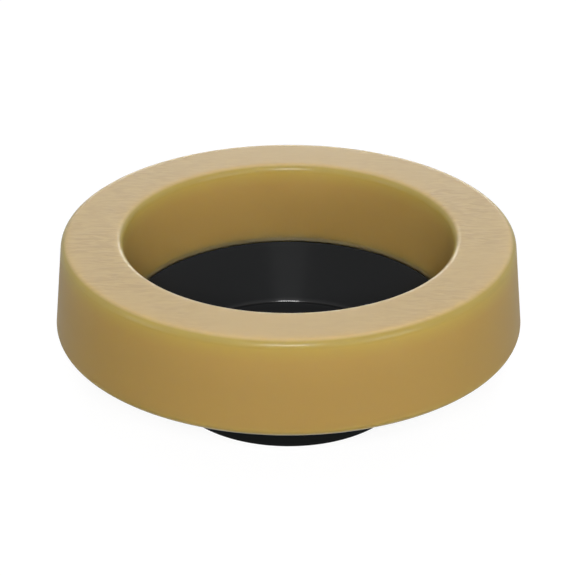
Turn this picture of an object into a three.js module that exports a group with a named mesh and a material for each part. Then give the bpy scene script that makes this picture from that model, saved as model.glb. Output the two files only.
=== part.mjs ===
// Toilet pan seal: a moulded wax ring with a black plastic horn set into its underside.
// Both pieces are bodies of revolution about Z, in millimetres. The origin is the centre of the
// horn's lower end, so the seal stands on its horn with the wax ring above it.
import * as THREE from "three";

// Wax ring
const BORE_DIAMETER = 95.7;
const WAX_WALL = 20.4; // radial thickness at the foot of the ring
const WAX_HEIGHT = 28.3;
const OUTSIDE_LEAN = 2.65; // how much less the outside radius is at the top than at the foot
const TOP_ROUNDING = 2.4;
const LIP_ROUNDING = 2.2;
const FOOT_ROUNDING = 2.4;

// Plastic horn: a short tapered tube, a funnel and a flat flange, all of one wall
const HORN_WALL = 1.8;
const THROAT_DIAMETER = 68; // inside, where the funnel runs into the tube
const TUBE_HEIGHT = 11.1; // from the lower end up to the throat
const TUBE_TAPER = 1.2; // how much less the tube's radius is at its lower end than at the throat
const THROAT_ROUNDING = 1;
const FUNNEL_OVERLAP = 1.7; // how far the funnel's mouth reaches out past the bore of the wax
const FLANGE_WIDTH = 8; // how far the flange reaches into the wax from the funnel's mouth
const FLANGE_ROUNDING = 0.9; // inside of the bend from the funnel to the flange
const TUBE_EDGE_ROUNDING = 0.4;

// How the two sit together
const HORN_DROP = 22.8; // how far the horn hangs below the foot of the wax
const WAX_UNDER_FLANGE = 3;
const MOULD_GAP = 0.3; // between the wax and the horn that it is moulded round

// Mesh fineness
const SEGMENTS_ROUND = 96;
const ROUNDING_STEP = THREE.MathUtils.degToRad(23); // largest turn between two points of a rounding

// Heights above the horn's lower end
const waxFoot = HORN_DROP;
const waxTop = waxFoot + WAX_HEIGHT;
const flangeUnderside = waxFoot + WAX_UNDER_FLANGE;
const flangeTop = flangeUnderside + HORN_WALL;

// Radii
const boreRadius = BORE_DIAMETER / 2;
const footRadius = boreRadius + WAX_WALL;
const topRadius = footRadius - OUTSIDE_LEAN;
const throatRadius = THROAT_DIAMETER / 2;
const tubeEndRadius = throatRadius - TUBE_TAPER;
const mouthRadius = boreRadius + FUNNEL_OVERLAP;
const flangeRadius = mouthRadius + FLANGE_WIDTH;

// The funnel's upper face is the straight line from the throat to the mouth.
const funnelAngle = Math.atan2(flangeTop - TUBE_HEIGHT, mouthRadius - throatRadius);

// Radius of the funnel at a height, on the face that lies `depth` below its upper face.
function funnelRadius(height, depth) {
  const risen = height - TUBE_HEIGHT + depth / Math.cos(funnelAngle);
  return throatRadius + risen / Math.tan(funnelAngle);
}

// Height of the funnel at a radius, on the face that lies `depth` below its upper face.
function funnelHeight(radius, depth) {
  const run = radius - throatRadius;
  return TUBE_HEIGHT + run * Math.tan(funnelAngle) - depth / Math.cos(funnelAngle);
}

// The corner of the horn's outside, where the tapered tube meets the underside of the funnel.
function outerThroatCorner() {
  const tubeSpread = TUBE_TAPER / TUBE_HEIGHT;
  const funnelSpread = 1 / Math.tan(funnelAngle);
  const apart = tubeEndRadius + HORN_WALL - funnelRadius(0, HORN_WALL);
  const height = apart / (funnelSpread - tubeSpread);
  return [funnelRadius(height, HORN_WALL), height];
}

// The points of an arc that rounds the corner between its two neighbours.
function arcAt(corner, before, after, rounding) {
  const back = before.clone().sub(corner).normalize();
  const onward = after.clone().sub(corner).normalize();
  const halfAngle = Math.acos(back.dot(onward)) / 2;
  const centre = back.clone().add(onward).setLength(rounding / Math.sin(halfAngle)).add(corner);
  const start = corner.clone().addScaledVector(back, rounding / Math.tan(halfAngle));
  const turn = Math.sign(back.cross(onward)) * (2 * halfAngle - Math.PI);
  const steps = Math.ceil(Math.abs(turn) / ROUNDING_STEP);
  return Array.from({ length: steps + 1 }, (_, i) =>
    start.clone().rotateAround(centre, (turn * i) / steps),
  );
}

// A ring about Z, whose section is a closed outline of [radius, height, rounding] corners.
function turned(name, corners, material) {
  const places = corners.map(([radius, height]) => new THREE.Vector2(radius, height));
  const outline = places.flatMap((corner, i) => {
    const rounding = corners[i][2] ?? 0;
    if (rounding === 0) return [corner];
    return arcAt(corner, places.at(i - 1), places[(i + 1) % places.length], rounding);
  });
  const geometry = new THREE.LatheGeometry([...outline, outline[0]], SEGMENTS_ROUND);
  geometry.rotateX(Math.PI / 2);
  const mesh = new THREE.Mesh(geometry, material);
  mesh.name = name;
  return mesh;
}

// Cast wax: a bored ring that leans in towards its top, moulded round the horn's flange and funnel.
function waxRing() {
  const slotTop = flangeTop + MOULD_GAP;
  const slotUnderside = flangeUnderside - MOULD_GAP;
  const slotRadius = flangeRadius + MOULD_GAP;
  const underFunnel = HORN_WALL + MOULD_GAP;
  const slotRounding = Math.max(FLANGE_ROUNDING - MOULD_GAP, 0);
  return turned(
    "wax_ring",
    [
      [funnelRadius(waxFoot, underFunnel), waxFoot],
      [footRadius, waxFoot, FOOT_ROUNDING],
      [topRadius, waxTop, TOP_ROUNDING],
      [boreRadius, waxTop, LIP_ROUNDING],
      [boreRadius, funnelHeight(boreRadius, -MOULD_GAP)],
      [funnelRadius(slotTop, -MOULD_GAP), slotTop],
      [slotRadius, slotTop],
      [slotRadius, slotUnderside],
      [funnelRadius(slotUnderside, underFunnel), slotUnderside, slotRounding],
    ],
    new THREE.MeshStandardMaterial({ color: 0xb3965c, roughness: 0.45, metalness: 0 }),
  );
}

// Moulded polyethylene horn: the tube drops into the closet flange, and the wax holds the flange.
function horn() {
  return turned(
    "horn",
    [
      [tubeEndRadius, 0, TUBE_EDGE_ROUNDING],
      [tubeEndRadius + HORN_WALL, 0, TUBE_EDGE_ROUNDING],
      [...outerThroatCorner(), THROAT_ROUNDING + HORN_WALL],
      [funnelRadius(flangeUnderside, HORN_WALL), flangeUnderside, FLANGE_ROUNDING],
      [flangeRadius, flangeUnderside],
      [flangeRadius, flangeTop],
      [mouthRadius, flangeTop, FLANGE_ROUNDING + HORN_WALL],
      [throatRadius, TUBE_HEIGHT, THROAT_ROUNDING],
    ],
    new THREE.MeshStandardMaterial({ color: 0x1b1c1e, roughness: 0.38, metalness: 0 }),
  );
}

const seal = new THREE.Group();
seal.add(waxRing(), horn());

export default seal;
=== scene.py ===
import math

import bmesh
import bpy
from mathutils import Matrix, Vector


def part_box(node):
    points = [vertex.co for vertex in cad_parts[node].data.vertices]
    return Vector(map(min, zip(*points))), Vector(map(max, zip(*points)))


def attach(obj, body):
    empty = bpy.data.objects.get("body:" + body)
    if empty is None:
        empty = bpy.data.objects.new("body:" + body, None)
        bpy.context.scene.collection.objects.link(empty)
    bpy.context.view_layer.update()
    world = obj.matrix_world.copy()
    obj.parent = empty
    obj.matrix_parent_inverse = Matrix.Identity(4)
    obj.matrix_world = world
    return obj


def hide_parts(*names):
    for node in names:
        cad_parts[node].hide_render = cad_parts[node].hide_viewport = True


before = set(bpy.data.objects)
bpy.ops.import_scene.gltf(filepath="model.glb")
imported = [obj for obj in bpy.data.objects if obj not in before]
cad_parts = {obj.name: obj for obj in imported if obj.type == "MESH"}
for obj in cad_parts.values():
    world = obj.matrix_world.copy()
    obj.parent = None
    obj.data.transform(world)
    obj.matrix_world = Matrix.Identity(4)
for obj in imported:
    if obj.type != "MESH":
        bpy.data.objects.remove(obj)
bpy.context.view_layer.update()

# Horn: one piece of black polyethylene, injection moulded. A short tapered tube opens into a
# funnel and then into a flat flange, all of one wall. The wax is cast round the flange, so only
# the tube and the funnel are seen. It is polished, apart from the outside of the tube, whose colour
# is also darker there as painted shade under the wax's overhang.
HORN_WALL = 0.0018
FLANGE_BEND = 0.0009
THROAT_RADIUS = 0.034
THROAT_HEIGHT = 0.0111
THROAT_ROUNDING = 0.002
TUBE_TAPER = 0.0012
TUBE_EDGE_ROUNDING = 0.0004
MOUTH_OUTSIDE_BORE = 0.0017
BORE_RADIUS = 0.04785
STEPS_ROUND = 320
STEPS_PER_ROUNDING = 8
LONGEST_FACE = 0.0012
HORN_BLACK = (0.0121, 0.0129, 0.0138, 1)
HORN_GLOSS = 0.07
HORN_ROUGHNESS = (0.16, 0.24)
HORN_MOTTLE_PER_METRE = 90
HORN_MOTTLE_DETAIL = 4
# Painted shade: the tube's outside is coloured darker than the rest of the horn.
TUBE_PAINTED_SHADE_BLACK = (0.0078, 0.0088, 0.0086, 1)
TUBE_GLOSS = 0.02
TUBE_FADE = 0.001
TUBE_MIDDLE_RADII = (0.0342, 0.0344)  # within its wall, between the inside and the outside
THROAT_SHINE = 0.38
THROAT_SHINE_REACH = 0.001
THROAT_SHINE_ROUGHNESS = 0.12

horn_high = Vector(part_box("horn")[1])
flange_radius = horn_high.x
flange_top = horn_high.z
flange_underside = flange_top - HORN_WALL
mouth_radius = BORE_RADIUS + MOUTH_OUTSIDE_BORE
funnel_slope = (flange_top - THROAT_HEIGHT) / (mouth_radius - THROAT_RADIUS)
funnel_wall_height = HORN_WALL * math.hypot(1, funnel_slope)


def funnel_height(radius):
    """Height of the funnel's upper face at a radius."""
    return THROAT_HEIGHT + (radius - THROAT_RADIUS) * funnel_slope


def funnel_radius(height, drop=0.0):
    """Radius of the funnel at a height, on the face that lies drop under its upper face."""
    return THROAT_RADIUS + (height + drop - THROAT_HEIGHT) / funnel_slope


def rounded(corners):
    """Points of a closed outline of (radius, height, rounding) corners, with roundings as arcs."""
    points = []
    for i, (radius, height, rounding) in enumerate(corners):
        corner = Vector((radius, height))
        if rounding == 0:
            points.append(corner)
            continue
        before = (Vector(corners[i - 1][:2]) - corner).normalized()
        after = (Vector(corners[(i + 1) % len(corners)][:2]) - corner).normalized()
        half = before.angle(after) / 2
        centre = corner + (before + after).normalized() * rounding / math.sin(half)
        start = corner + before * rounding / math.tan(half) - centre
        end = corner + after * rounding / math.tan(half) - centre
        sweep = start.angle_signed(end)
        for step in range(STEPS_PER_ROUNDING + 1):
            turn = -sweep * step / STEPS_PER_ROUNDING
            cosine, sine = math.cos(turn), math.sin(turn)
            across = start.x * cosine - start.y * sine
            upward = start.x * sine + start.y * cosine
            points.append(centre + Vector((across, upward)))
    return points


def evenly_spaced(points):
    """The closed outline again, with its long edges cut so that no face is too long."""
    spaced = []
    for here, there in zip(points, points[1:] + points[:1]):
        cuts = max(1, math.ceil((there - here).length / LONGEST_FACE))
        spaced += [here.lerp(there, cut / cuts) for cut in range(cuts)]
    return spaced


def turned(name, outline):
    """A smooth ring of that outline about the seal's axis."""
    mesh = bmesh.new()
    rings = []
    for step in range(STEPS_ROUND):
        turn = math.tau * step / STEPS_ROUND
        cosine, sine = math.cos(turn), math.sin(turn)
        rings.append([mesh.verts.new((p.x * cosine, p.x * sine, p.y)) for p in outline])
    for ring, onward in zip(rings, rings[1:] + rings[:1]):
        for i in range(len(outline)):
            mesh.faces.new((ring[i - 1], ring[i], onward[i], onward[i - 1]))
    bmesh.ops.recalc_face_normals(mesh, faces=mesh.faces)
    data = bpy.data.meshes.new(name)
    mesh.to_mesh(data)
    mesh.free()
    for face in data.polygons:
        face.use_smooth = True
    ring_object = bpy.data.objects.new(name, data)
    bpy.context.collection.objects.link(ring_object)
    return ring_object


# The outer corner, before its rounding, is where the tube meets the underside of the funnel.
tube_end = THROAT_RADIUS - TUBE_TAPER
tube_spread = TUBE_TAPER / THROAT_HEIGHT
tube_gap = tube_end + HORN_WALL - funnel_radius(0, funnel_wall_height)
outer_throat_height = tube_gap / (1 / funnel_slope - tube_spread)
outer_throat = funnel_radius(outer_throat_height, funnel_wall_height)
horn_outline = rounded(
    [
        (tube_end, 0, TUBE_EDGE_ROUNDING),
        (tube_end + HORN_WALL, 0, TUBE_EDGE_ROUNDING),
        (outer_throat, outer_throat_height, THROAT_ROUNDING + HORN_WALL),
        (funnel_radius(flange_underside, funnel_wall_height), flange_underside, FLANGE_BEND),
        (flange_radius, flange_underside, 0),
        (flange_radius, flange_top, 0),
        (mouth_radius, flange_top, FLANGE_BEND + HORN_WALL),
        (THROAT_RADIUS, THROAT_HEIGHT, THROAT_ROUNDING),
    ]
)
moulded_horn = turned("moulded_horn", evenly_spaced(horn_outline))


def ranged(tree, value, low, high, to_low=0.0, to_high=1.0):
    """A node's value carried from one range to another, and held at the ends."""
    node = tree.nodes.new("ShaderNodeMapRange")
    node.inputs["From Min"].default_value = low
    node.inputs["From Max"].default_value = high
    node.inputs["To Min"].default_value = to_low
    node.inputs["To Max"].default_value = to_high
    tree.links.new(value, node.inputs["Value"])
    return node.outputs["Result"]


def mottle(tree, spot, scale, detail):
    """Soft cloudy noise, from 0 to 1."""
    node = tree.nodes.new("ShaderNodeTexNoise")
    node.inputs["Scale"].default_value = scale
    node.inputs["Detail"].default_value = detail
    tree.links.new(spot, node.inputs["Vector"])
    return node.outputs["Fac"]


def both(tree, operation, first, second):
    """One value from two nodes' values, by a product or by the larger or smaller of them."""
    node = tree.nodes.new("ShaderNodeMath")
    node.operation = operation
    tree.links.new(first, node.inputs[0])
    tree.links.new(second, node.inputs[1])
    return node.outputs[0]


def blended(tree, first, second, share):
    """One colour running into another. Each is a colour or another node's output."""
    node = tree.nodes.new("ShaderNodeMix")
    node.data_type = "RGBA"
    for side, colour in (("A", first), ("B", second)):
        if isinstance(colour, tuple):
            node.inputs[side].default_value = colour
        else:
            tree.links.new(colour, node.inputs[side])
    tree.links.new(share, node.inputs["Factor"])
    return node.outputs["Result"]


def black_polyethylene():
    """Black moulded plastic with a slightly uneven gloss, dull outside the tube and darker there as
    painted shade.
    """
    material = bpy.data.materials.new("black_polyethylene")
    material.use_nodes = True
    tree = material.node_tree
    shader = tree.nodes["Principled BSDF"]
    spot = tree.nodes.new("ShaderNodeTexCoord").outputs["Object"]
    unevenness = mottle(tree, spot, HORN_MOTTLE_PER_METRE, HORN_MOTTLE_DETAIL)
    tree.links.new(ranged(tree, unevenness, 0, 1, *HORN_ROUGHNESS), shader.inputs["Roughness"])

    # Only the tube's outside is dull, and its colour is darker there as painted shade under the
    # wax.
    # What lies above the throat, or inside the tube, is polished.
    split = tree.nodes.new("ShaderNodeSeparateXYZ")
    tree.links.new(spot, split.inputs["Vector"])
    height = split.outputs["Z"]
    level = tree.nodes.new("ShaderNodeCombineXYZ")
    tree.links.new(split.outputs["X"], level.inputs["X"])
    tree.links.new(split.outputs["Y"], level.inputs["Y"])
    radius = tree.nodes.new("ShaderNodeVectorMath")
    radius.operation = "LENGTH"
    tree.links.new(level.outputs["Vector"], radius.inputs[0])
    above = ranged(tree, height, THROAT_HEIGHT - TUBE_FADE, THROAT_HEIGHT)
    inside = ranged(tree, radius.outputs["Value"], *TUBE_MIDDLE_RADII, 1, 0)
    polished_unshaded = both(tree, "MAXIMUM", above, inside)
    tree.links.new(blended(tree, TUBE_PAINTED_SHADE_BLACK, HORN_BLACK, polished_unshaded), shader.inputs["Base Color"])
    gloss = ranged(tree, polished_unshaded, 0, 1, TUBE_GLOSS, HORN_GLOSS)
    tree.links.new(gloss, shader.inputs["Specular IOR Level"])

    # The rounding at the throat is burnished, so it catches a thin line of light.
    rising = ranged(tree, height, THROAT_HEIGHT - THROAT_SHINE_REACH, THROAT_HEIGHT)
    falling = ranged(tree, height, THROAT_HEIGHT + THROAT_SHINE_REACH, THROAT_HEIGHT)
    burnish = ranged(tree, both(tree, "MINIMUM", rising, falling), 0, 1, 0, THROAT_SHINE)
    tree.links.new(burnish, shader.inputs["Coat Weight"])
    shader.inputs["Coat Roughness"].default_value = THROAT_SHINE_ROUGHNESS
    return material


moulded_horn.data.materials.append(black_polyethylene())
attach(moulded_horn, "root")
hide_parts("horn")

# Wax ring: soft tan petroleum wax, cast round the horn's flange in a drafted mould and struck off
# flat on top. It lets some light in, is oily along its edges, and has a paler top face with fine
# scuffs, the paleness partly rubbed wax and partly a painted sheen. Its colour also carries painted
# light, a yellower tint along the top and foot edges, and painted shade, which deepens it low down
# and on the lower part of the top rounding. A thin edge of it creeps onto the funnel at the foot of
# the bore.
WAX_LEAN = 0.00265
TOP_ROUNDING = 0.0024
LIP_ROUNDING = 0.0022
FOOT_ROUNDING = 0.0024
FOOT_RADIUS = 0.06825
HORN_CLEARANCE = 0.00002
WAX_CREEP = 0.0008
WAX_CREEP_ROUNDING = 0.0014
WAX_COLOUR = (0.405, 0.263, 0.074, 1)
WAX_CLOUD_COLOUR = (0.39, 0.251, 0.069, 1)
# Painted shade: the wax darkens towards its foot, for the lesser light low on its walls.
LOW_PAINTED_SHADE_COLOUR = (0.36, 0.232, 0.066, 1)
LOW_PAINTED_SHADE_HEIGHTS = (0.029, 0.012)
# Painted light: a yellower tint along the top and the foot, for light scattered out near the edges.
PAINTED_EDGE_LIGHT_COLOUR = (0.393, 0.281, 0.071, 1)
PAINTED_LIGHT_TOP_DEPTHS = (0.0066, 0.0026)
PAINTED_LIGHT_FOOT_HEIGHTS = (0.003, 0.0008)
# Painted shade: the lower part of the top rounding is coloured darker, for less light there.
PAINTED_SHADE_ROUNDING_COLOUR = (0.322, 0.24, 0.061, 1)
PAINTED_SHADE_ROUNDING_DEPTHS = (0.0026, 0.0013)
CLOUDS_PER_METRE = 60
CLOUD_DETAIL = 3
CLOUD_RANGE = (0.35, 0.65)
WAX_DEPTH = 0.01  # how far light goes into it
WAX_DEPTH_OF_COLOURS = (1.0, 0.95, 0.6)
WAX_GLOSS = 0.12
WAX_ROUGHNESS = 0.5
# Paler top: partly rubbed wax, partly a painted sheen for the top's whitish reflection.
RUBBED_AND_SHEEN_COLOUR = (0.5, 0.36, 0.166, 1)
SCUFFED_AND_SHEEN_COLOUR = (0.435, 0.308, 0.141, 1)
RUBBED_AND_SHEEN_DEPTHS = (0.0006, 0.0001)
SCUFFS_PER_METRE = (200, 700, 0)  # across, front to back, and up
SCUFF_DETAIL = 3
SCUFF_WAVINESS = 0.8
SCUFF_RANGE = (0.35, 0.65)
SCUFF_DEPTH = 0.00003
FAINT_SCUFFS = 0.3
SCUFFED_SIDES = (0.02, 0.045)
PATCHES_PER_METRE = 45
PATCH_DETAIL = 1
PATCH_RANGE = (0.3, 0.55)
OILY_TOP = 0.26
OILY_TOP_DEPTHS = (0.0024, 0.0012)
OILY_FLAT_TOP = 0.1
OILY_FLAT_TOP_DEPTHS = (0.00018, 0.00002)
OILY_FOOT = 0.8
OILY_FOOT_HEIGHTS = (0.0014, 0.0007)
OILY_ROUGHNESS = 0.2

wax_low, wax_high = (Vector(corner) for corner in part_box("wax_ring"))
foot_height = wax_low.z
top_height = wax_high.z
under_funnel = funnel_wall_height + HORN_CLEARANCE
wax_on_horn = funnel_height(BORE_RADIUS) + HORN_CLEARANCE
creep_end = BORE_RADIUS - WAX_CREEP * math.cos(math.atan(funnel_slope))
wax_outline = rounded(
    [
        (funnel_radius(foot_height, under_funnel), foot_height, 0),
        (FOOT_RADIUS, foot_height, FOOT_ROUNDING),
        (FOOT_RADIUS - WAX_LEAN, top_height, TOP_ROUNDING),
        (BORE_RADIUS, top_height, LIP_ROUNDING),
        (BORE_RADIUS, wax_on_horn + WAX_CREEP, WAX_CREEP_ROUNDING),
        (creep_end, funnel_height(creep_end) + HORN_CLEARANCE, 0),
        (funnel_radius(flange_top, -HORN_CLEARANCE), flange_top + HORN_CLEARANCE, 0),
        (flange_radius + HORN_CLEARANCE, flange_top + HORN_CLEARANCE, 0),
        (flange_radius + HORN_CLEARANCE, flange_underside - HORN_CLEARANCE, 0),
        (
            funnel_radius(flange_underside - HORN_CLEARANCE, under_funnel),
            flange_underside - HORN_CLEARANCE,
            FLANGE_BEND - HORN_CLEARANCE,
        ),
    ]
)
cast_wax = turned("cast_wax", evenly_spaced(wax_outline))


def under_top(depths):
    """Heights at those depths under the wax's top face."""
    return [top_height - depth for depth in depths]


def over_foot(heights):
    """Heights at those distances over the wax's foot."""
    return [foot_height + height for height in heights]


def tan_wax():
    """Translucent wax, scuffed and paler where struck off, partly as painted sheen, and oily along
    its edges.
    """
    material = bpy.data.materials.new("tan_wax")
    material.use_nodes = True
    tree = material.node_tree
    shader = tree.nodes["Principled BSDF"]
    shader.subsurface_method = "RANDOM_WALK"
    shader.inputs["Subsurface Weight"].default_value = 1
    shader.inputs["Subsurface Radius"].default_value = WAX_DEPTH_OF_COLOURS
    shader.inputs["Subsurface Scale"].default_value = WAX_DEPTH
    shader.inputs["Specular IOR Level"].default_value = WAX_GLOSS
    shader.inputs["Roughness"].default_value = WAX_ROUGHNESS
    shader.inputs["Coat Roughness"].default_value = OILY_ROUGHNESS

    spot = tree.nodes.new("ShaderNodeTexCoord").outputs["Object"]
    split = tree.nodes.new("ShaderNodeSeparateXYZ")
    tree.links.new(spot, split.inputs["Vector"])
    height = split.outputs["Z"]
    struck = ranged(tree, height, *under_top(RUBBED_AND_SHEEN_DEPTHS))

    # The scuffs run along X, and are strongest at the ring's left and right.
    stretch = tree.nodes.new("ShaderNodeMapping")
    stretch.inputs["Scale"].default_value = SCUFFS_PER_METRE
    tree.links.new(spot, stretch.inputs["Vector"])
    scuffs = mottle(tree, stretch.outputs["Vector"], 1, SCUFF_DETAIL)
    scuffs.node.inputs["Distortion"].default_value = SCUFF_WAVINESS
    aside = tree.nodes.new("ShaderNodeMath")
    aside.operation = "ABSOLUTE"
    tree.links.new(split.outputs["X"], aside.inputs[0])
    beside = ranged(tree, aside.outputs[0], *SCUFFED_SIDES, FAINT_SCUFFS, 1)
    worn = mottle(tree, spot, PATCHES_PER_METRE, PATCH_DETAIL)
    patches = ranged(tree, worn, *PATCH_RANGE, FAINT_SCUFFS, 1)
    scuffed = both(tree, "MULTIPLY", beside, patches)
    marks = both(tree, "MULTIPLY", ranged(tree, scuffs, *SCUFF_RANGE), scuffed)
    bump = tree.nodes.new("ShaderNodeBump")
    bump.inputs["Distance"].default_value = SCUFF_DEPTH
    tree.links.new(both(tree, "MULTIPLY", marks, struck), bump.inputs["Height"])
    tree.links.new(bump.outputs["Normal"], shader.inputs["Normal"])
    tree.links.new(bump.outputs["Normal"], shader.inputs["Coat Normal"])

    # Its colour is cloudy. It is deeper low down as painted shade, darker on the lower part of the
    # top rounding as painted shade, and yellower along the top and foot edges as painted light from
    # within the wax. The struck-off top is paler, partly rubbed and partly as a painted sheen.
    clouds = ranged(tree, mottle(tree, spot, CLOUDS_PER_METRE, CLOUD_DETAIL), *CLOUD_RANGE)
    wax = blended(tree, WAX_COLOUR, WAX_CLOUD_COLOUR, clouds)
    low = ranged(tree, height, *over_foot(LOW_PAINTED_SHADE_HEIGHTS))
    low.node.interpolation_type = "SMOOTHSTEP"
    wax = blended(tree, wax, LOW_PAINTED_SHADE_COLOUR, low)
    near_top = ranged(tree, height, *under_top(PAINTED_LIGHT_TOP_DEPTHS))
    near_foot = ranged(tree, height, *over_foot(PAINTED_LIGHT_FOOT_HEIGHTS))
    wax = blended(tree, wax, PAINTED_EDGE_LIGHT_COLOUR, both(tree, "MAXIMUM", near_top, near_foot))
    rounding = ranged(tree, height, *under_top(PAINTED_SHADE_ROUNDING_DEPTHS))
    wax = blended(tree, wax, PAINTED_SHADE_ROUNDING_COLOUR, rounding)
    rubbed_and_sheen = blended(tree, RUBBED_AND_SHEEN_COLOUR, SCUFFED_AND_SHEEN_COLOUR, marks)
    tree.links.new(blended(tree, wax, rubbed_and_sheen, struck), shader.inputs["Base Color"])

    # An oily skin lies on the rounded edges, and a little of it on the flat top.
    at_top = ranged(tree, height, *under_top(OILY_TOP_DEPTHS), 0, OILY_TOP)
    at_foot = ranged(tree, height, *over_foot(OILY_FOOT_HEIGHTS), 0, OILY_FOOT)
    on_flat = ranged(tree, height, *under_top(OILY_FLAT_TOP_DEPTHS), OILY_TOP, OILY_FLAT_TOP)
    skin = both(tree, "MAXIMUM", both(tree, "MINIMUM", at_top, on_flat), at_foot)
    tree.links.new(skin, shader.inputs["Coat Weight"])
    return material


cast_wax.data.materials.append(tan_wax())
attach(cast_wax, "root")
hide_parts("wax_ring")

# Floor: a large sheet of white paper that the seal stands on. It looks white to the camera, and
# sends only a little light back up at the wax. The seal keeps a faint shadow on it.
FLOOR_SIZE = 6
FLOOR_WHITE = (0.18, 0.18, 0.18, 1)
FLOOR_GLOW = 0.88

bpy.ops.mesh.primitive_plane_add(size=FLOOR_SIZE)
floor = bpy.context.object
floor.name = "floor"


def in_sight(tree):
    """1 for what the camera sees, straight or by reflection or through a piece, and 0 otherwise."""
    ray = tree.nodes.new("ShaderNodeLightPath")
    seen = both(tree, "MAXIMUM", ray.outputs["Is Camera Ray"], ray.outputs["Is Glossy Ray"])
    return both(tree, "MAXIMUM", seen, ray.outputs["Is Transmission Ray"])


def white_paper():
    """Matt paper that shows white in the picture without lighting the seal."""
    material = bpy.data.materials.new("white_paper")
    material.use_nodes = True
    tree = material.node_tree
    tree.nodes.remove(tree.nodes["Principled BSDF"])
    paper = tree.nodes.new("ShaderNodeBsdfDiffuse")
    paper.inputs["Color"].default_value = FLOOR_WHITE
    glow = tree.nodes.new("ShaderNodeEmission")
    strength = ranged(tree, in_sight(tree), 0, 1, 0, FLOOR_GLOW)
    tree.links.new(strength, glow.inputs["Strength"])
    together = tree.nodes.new("ShaderNodeAddShader")
    tree.links.new(paper.outputs["BSDF"], together.inputs[0])
    tree.links.new(glow.outputs["Emission"], together.inputs[1])
    tree.links.new(together.outputs["Shader"], tree.nodes["Material Output"].inputs["Surface"])
    return material


floor.data.materials.append(white_paper())

# Light: softboxes in front, at both sides, and low and high behind, in a white room that only the
# camera and the gloss of the pieces see. The front box draws the bright line on the wax's top edge.
ROOM_WHITE = (1, 1, 1, 1)
RING_MIDDLE = Vector((0, 0, 0.03))
LAMP_DISTANCE = 1.5

world = bpy.data.worlds.new("white_room")
bpy.context.scene.world = world
world.use_nodes = True
room = world.node_tree
room.nodes["Background"].inputs["Color"].default_value = ROOM_WHITE
room.links.new(in_sight(room), room.nodes["Background"].inputs["Strength"])


def softbox(name, azimuth, elevation, width, height, power):
    """A rectangular lamp that faces the ring. Azimuth 0 is the camera's side, and 90 the right."""
    around, up = math.radians(azimuth), math.radians(elevation)
    away = Vector((math.sin(around) * math.cos(up), -math.cos(around) * math.cos(up), math.sin(up)))
    lamp_data = bpy.data.lights.new(name, "AREA")
    lamp_data.shape = "RECTANGLE"
    lamp_data.size = width
    lamp_data.size_y = height
    lamp_data.energy = power
    lamp = bpy.data.objects.new(name, lamp_data)
    lamp.location = RING_MIDDLE + away * LAMP_DISTANCE
    lamp.rotation_euler = away.to_track_quat("Z", "Y").to_euler()
    bpy.context.collection.objects.link(lamp)


# Azimuth and elevation in degrees, width and height in metres, power in watts.
softbox("front_lamp", 0, 30, 0.52, 0.3, 20)
softbox("right_lamp", 48, 12, 0.6, 0.5, 9)
softbox("left_lamp", -70, 12, 0.6, 0.5, 4.6)
softbox("low_back_lamp", 178, 12, 0.8, 0.3, 6.5)
softbox("high_back_lamp", 180, 68, 1.2, 1.2, 7.8)
softbox("high_front_lamp", 0, 59, 0.5, 0.5, 1)

# Camera: a long lens on a stand, about 65 cm from the seal, looking down at it from the front. From
# there the ring's far side is only a little smaller than its near side.
CAMERA_LENS = 140
CAMERA_SENSOR = 36
CAMERA_PLACE = (-0.00016, -0.58365, 0.33305)
CAMERA_LOOKS_DOWN = math.radians(27.186)

camera_data = bpy.data.cameras.new("camera")
camera_data.lens = CAMERA_LENS
camera_data.sensor_width = CAMERA_SENSOR
camera = bpy.data.objects.new("camera", camera_data)
camera.location = CAMERA_PLACE
camera.rotation_euler = (math.pi / 2 - CAMERA_LOOKS_DOWN, 0, 0)
bpy.context.collection.objects.link(camera)
bpy.context.scene.camera = camera
bpy.context.scene.view_settings.view_transform = "Standard"
